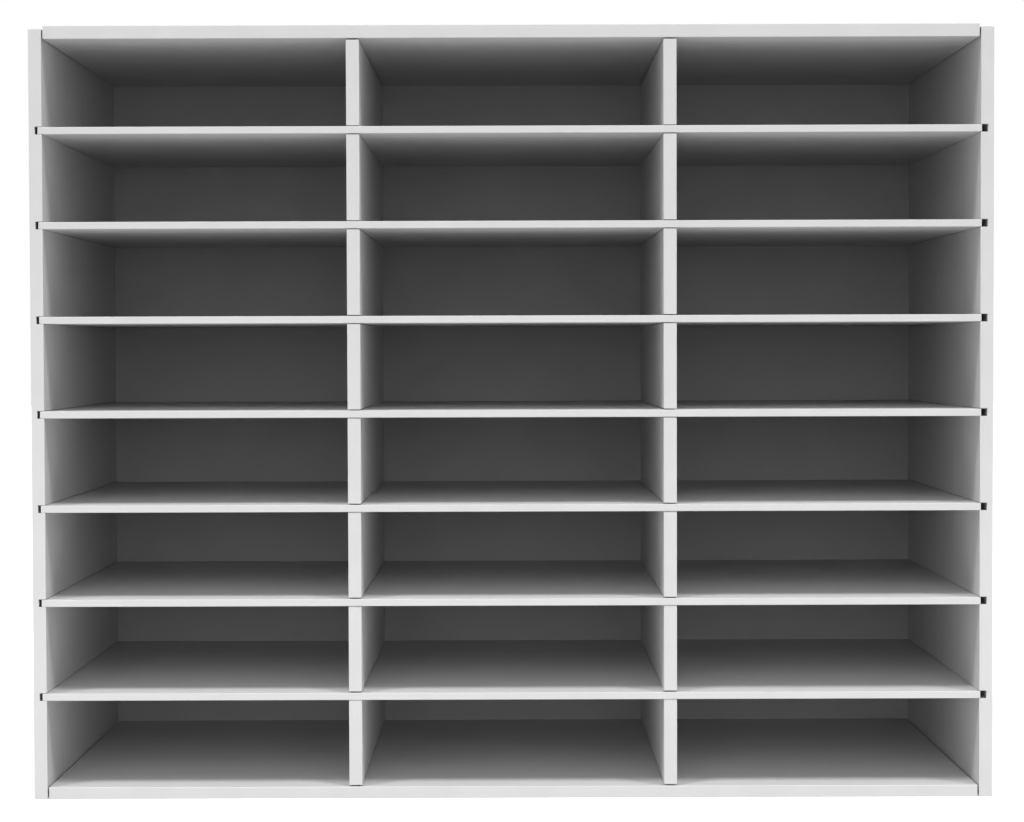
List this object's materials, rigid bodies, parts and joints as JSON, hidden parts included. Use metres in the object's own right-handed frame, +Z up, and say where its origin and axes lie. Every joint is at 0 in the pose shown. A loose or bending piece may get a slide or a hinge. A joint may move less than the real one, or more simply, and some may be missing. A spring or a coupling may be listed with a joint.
{
  "type": "pigeonhole mail sorter",
  "caption": "Open-front desktop mail sorter: laminated case with upright dividers and thin half-lapped shelves that slide out forwards, making a grid of flat pigeonholes.",
  "frame": {"origin": "middle of the underside, in the plane of the surface that the sorter stands on", "axes": "+X across the columns to the right seen from the front, -Y out of the open front, +Z up"},
  "size_m": [0.736, 0.305, 0.5919],
  "materials": {
    "case_laminate": "light grey melamine laminate on compressed wood board, satin, with matching edge banding",
    "shelf_board": "light grey lacquered fibreboard, satin",
    "back_hardboard": "grey painted hardboard inside, bare fibre outside",
    "beech_dowel": "plain turned beech",
    "zinc_steel": "bright zinc plate"
  },
  "bodies": {
    "case": {"left_side_panel": "case_laminate", "right_side_panel": "case_laminate", "top_panel": "case_laminate", "bottom_panel": "case_laminate", "divider_1": "case_laminate", "divider_2": "case_laminate", "back_panel": "back_hardboard", "left_top_front_screw": "zinc_steel", "left_top_rear_screw": "zinc_steel", "left_top_dowel": "beech_dowel", "left_bottom_front_screw": "zinc_steel", "left_bottom_rear_screw": "zinc_steel", "left_bottom_dowel": "beech_dowel", "right_top_front_screw": "zinc_steel", "right_top_rear_screw": "zinc_steel", "right_top_dowel": "beech_dowel", "right_bottom_front_screw": "zinc_steel", "right_bottom_rear_screw": "zinc_steel", "right_bottom_dowel": "beech_dowel", "divider_1_top_front_dowel": "beech_dowel", "divider_1_top_rear_dowel": "beech_dowel", "divider_1_bottom_front_dowel": "beech_dowel", "divider_1_bottom_rear_dowel": "beech_dowel", "divider_2_top_front_dowel": "beech_dowel", "divider_2_top_rear_dowel": "beech_dowel", "divider_2_bottom_front_dowel": "beech_dowel", "divider_2_bottom_rear_dowel": "beech_dowel", "back_nail_left_row_1": "zinc_steel", "back_nail_left_row_3": "zinc_steel", "back_nail_left_row_6": "zinc_steel", "back_nail_left_row_8": "zinc_steel", "back_nail_right_row_1": "zinc_steel", "back_nail_right_row_3": "zinc_steel", "back_nail_right_row_6": "zinc_steel", "back_nail_right_row_8": "zinc_steel", "back_nail_divider_1_row_3": "zinc_steel", "back_nail_divider_1_row_6": "zinc_steel", "back_nail_divider_2_row_3": "zinc_steel", "back_nail_divider_2_row_6": "zinc_steel", "back_nail_top_column_1": "zinc_steel", "back_nail_top_column_2": "zinc_steel", "back_nail_top_column_3": "zinc_steel", "back_nail_bottom_column_1": "zinc_steel", "back_nail_bottom_column_2": "zinc_steel", "back_nail_bottom_column_3": "zinc_steel"},
    "shelf_1": {"shelf_1": "shelf_board"},
    "shelf_2": {"shelf_2": "shelf_board"},
    "shelf_3": {"shelf_3": "shelf_board"},
    "shelf_4": {"shelf_4": "shelf_board"},
    "shelf_5": {"shelf_5": "shelf_board"},
    "shelf_6": {"shelf_6": "shelf_board"},
    "shelf_7": {"shelf_7": "shelf_board"}
  },
  "joints": [
    {"name": "shelf_1_slide", "type": "slide", "parent": "case", "child": "shelf_1", "axis": [0, -1, 0], "range_m": [0, 0.24]},
    {"name": "shelf_2_slide", "type": "slide", "parent": "case", "child": "shelf_2", "axis": [0, -1, 0], "range_m": [0, 0.24]},
    {"name": "shelf_3_slide", "type": "slide", "parent": "case", "child": "shelf_3", "axis": [0, -1, 0], "range_m": [0, 0.24]},
    {"name": "shelf_4_slide", "type": "slide", "parent": "case", "child": "shelf_4", "axis": [0, -1, 0], "range_m": [0, 0.24]},
    {"name": "shelf_5_slide", "type": "slide", "parent": "case", "child": "shelf_5", "axis": [0, -1, 0], "range_m": [0, 0.24]},
    {"name": "shelf_6_slide", "type": "slide", "parent": "case", "child": "shelf_6", "axis": [0, -1, 0], "range_m": [0, 0.24]},
    {"name": "shelf_7_slide", "type": "slide", "parent": "case", "child": "shelf_7", "axis": [0, -1, 0], "range_m": [0, 0.24]}
  ]
}
